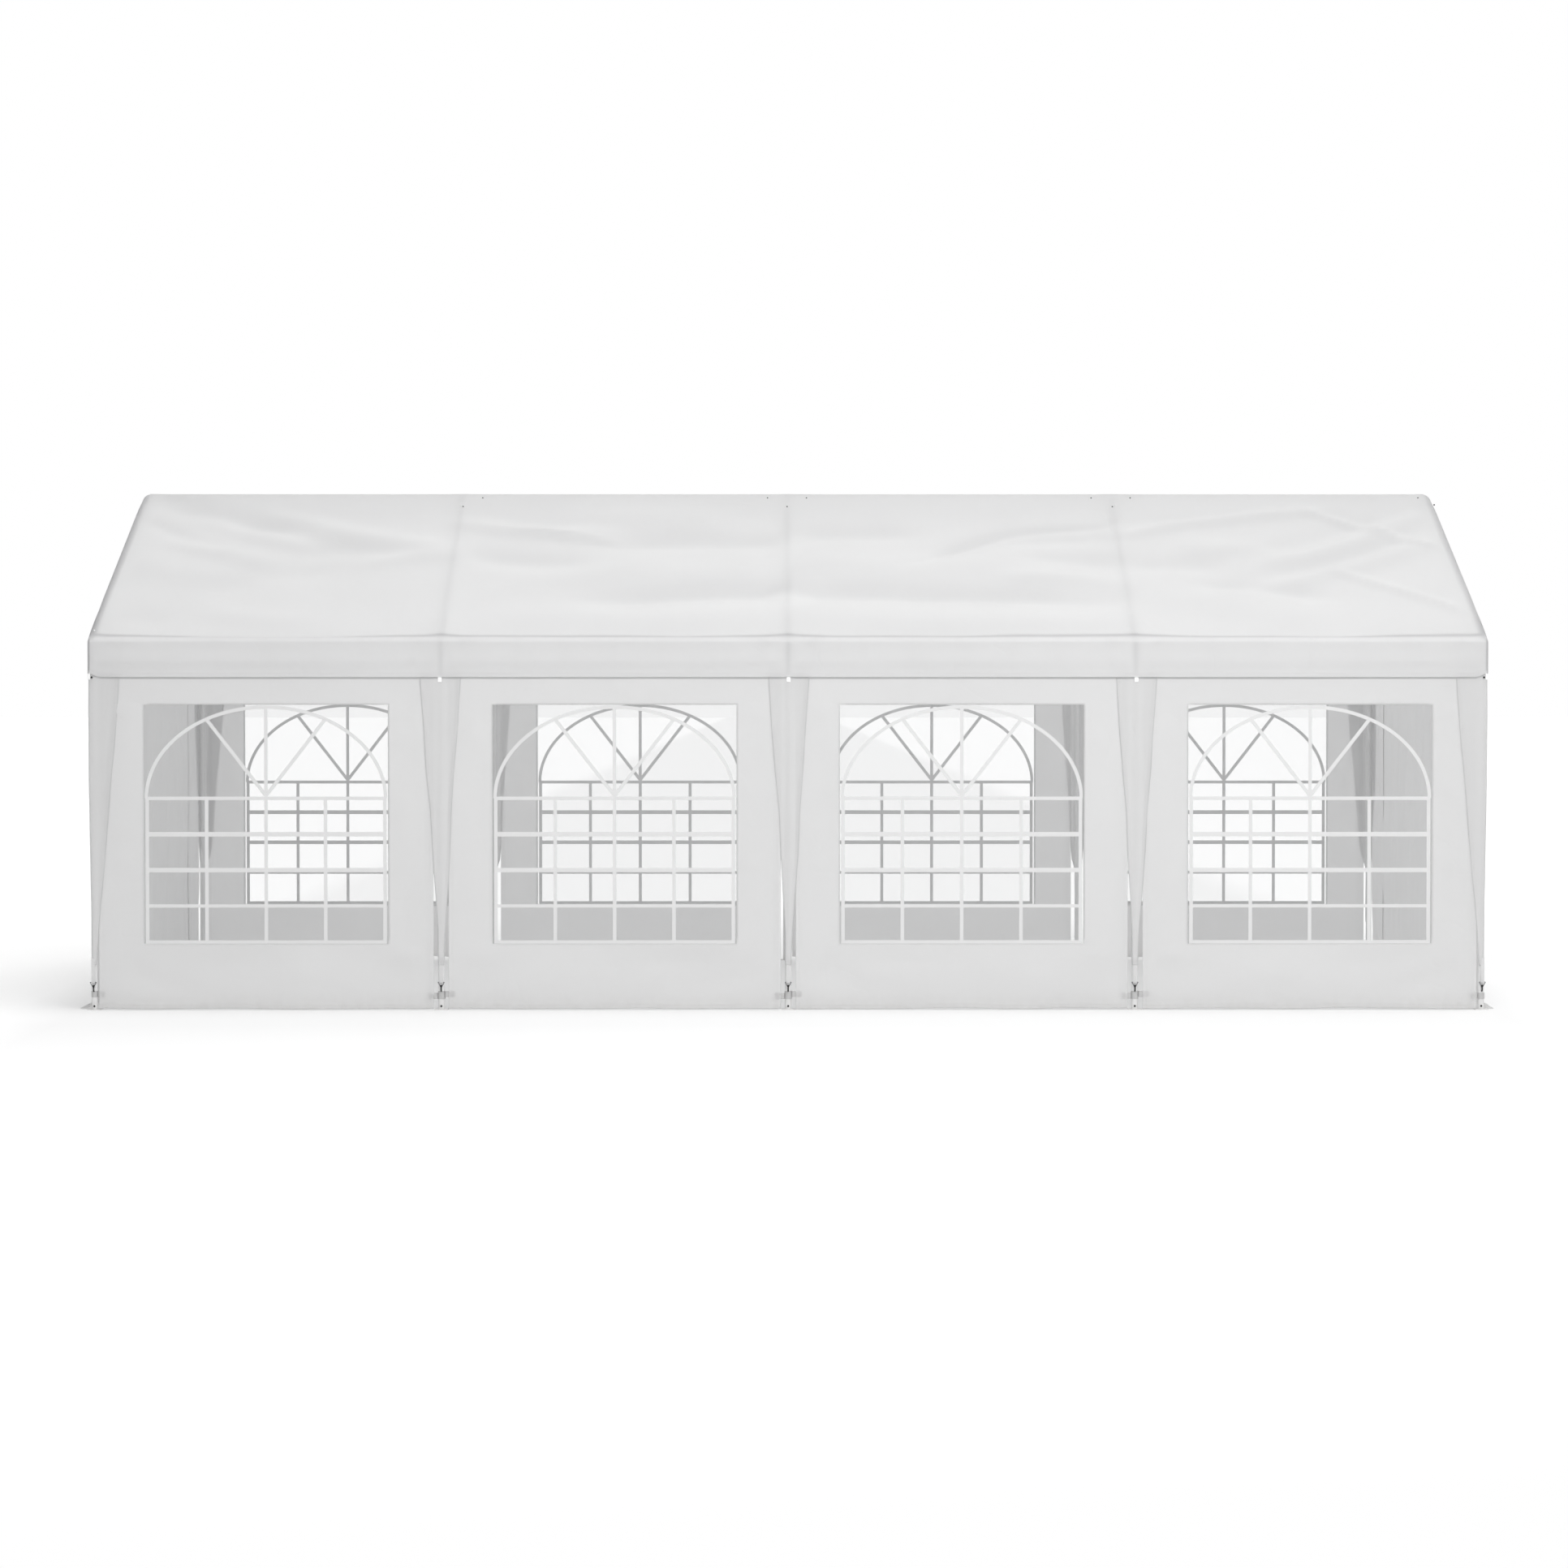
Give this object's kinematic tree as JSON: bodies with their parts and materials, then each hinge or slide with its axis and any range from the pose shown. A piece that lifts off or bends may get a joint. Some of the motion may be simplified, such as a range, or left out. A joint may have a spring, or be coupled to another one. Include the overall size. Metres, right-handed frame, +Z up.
{
  "type": "marquee tent",
  "caption": "Marquee tent: white tube frame, one-piece fabric roof with a valance, window wall panels along both sides and a zipped door in each end.",
  "frame": {"origin": "on the ground, under the middle of the tent", "axes": "+X along the ridge, +Y from the front to the back, +Z up"},
  "size_m": [8.1836, 4.078, 3.08],
  "materials": {
    "white_steel": "white powder coat, satin",
    "roof_fabric": "white coated weave, satin",
    "wall_fabric": "white coated weave, satin",
    "clear_film": "clear soft window film",
    "white_print": "white bars printed on the window film",
    "white_webbing": "woven tape and touch fastener",
    "zinc_wire": "zinc plated wire and screws",
    "dark_hook": "dark plated hook"
  },
  "bodies": {
    "root": {"post_front_1": "white_steel", "post_front_2": "white_steel", "post_front_3": "white_steel", "post_front_4": "white_steel", "post_front_5": "white_steel", "post_back_1": "white_steel", "post_back_2": "white_steel", "post_back_3": "white_steel", "post_back_4": "white_steel", "post_back_5": "white_steel", "rafter_front_1": "white_steel", "rafter_front_2": "white_steel", "rafter_front_3": "white_steel", "rafter_front_4": "white_steel", "rafter_front_5": "white_steel", "rafter_back_1": "white_steel", "rafter_back_2": "white_steel", "rafter_back_3": "white_steel", "rafter_back_4": "white_steel", "rafter_back_5": "white_steel", "eave_beam_front": "white_steel", "eave_beam_back": "white_steel", "end_beam_left": "white_steel", "end_beam_right": "white_steel", "ridge_beam": "white_steel", "roof_cover": "roof_fabric", "post_cover_front_1": "roof_fabric", "post_cover_front_2": "roof_fabric", "post_cover_front_3": "roof_fabric", "post_cover_front_4": "roof_fabric", "post_cover_front_5": "roof_fabric", "post_cover_back_1": "roof_fabric", "post_cover_back_2": "roof_fabric", "post_cover_back_3": "roof_fabric", "post_cover_back_4": "roof_fabric", "post_cover_back_5": "roof_fabric", "wall_front_1": "wall_fabric", "wall_front_2": "wall_fabric", "wall_front_3": "wall_fabric", "wall_front_4": "wall_fabric", "wall_back_1": "wall_fabric", "wall_back_2": "wall_fabric", "wall_back_3": "wall_fabric", "wall_back_4": "wall_fabric", "window_front_1": "clear_film", "window_front_2": "clear_film", "window_front_3": "clear_film", "window_front_4": "clear_film", "window_back_1": "clear_film", "window_back_2": "clear_film", "window_back_3": "clear_film", "window_back_4": "clear_film", "end_wall_left": "wall_fabric", "end_wall_right": "wall_fabric", "door_left": "wall_fabric", "door_right": "wall_fabric"}
  },
  "joints": []
}
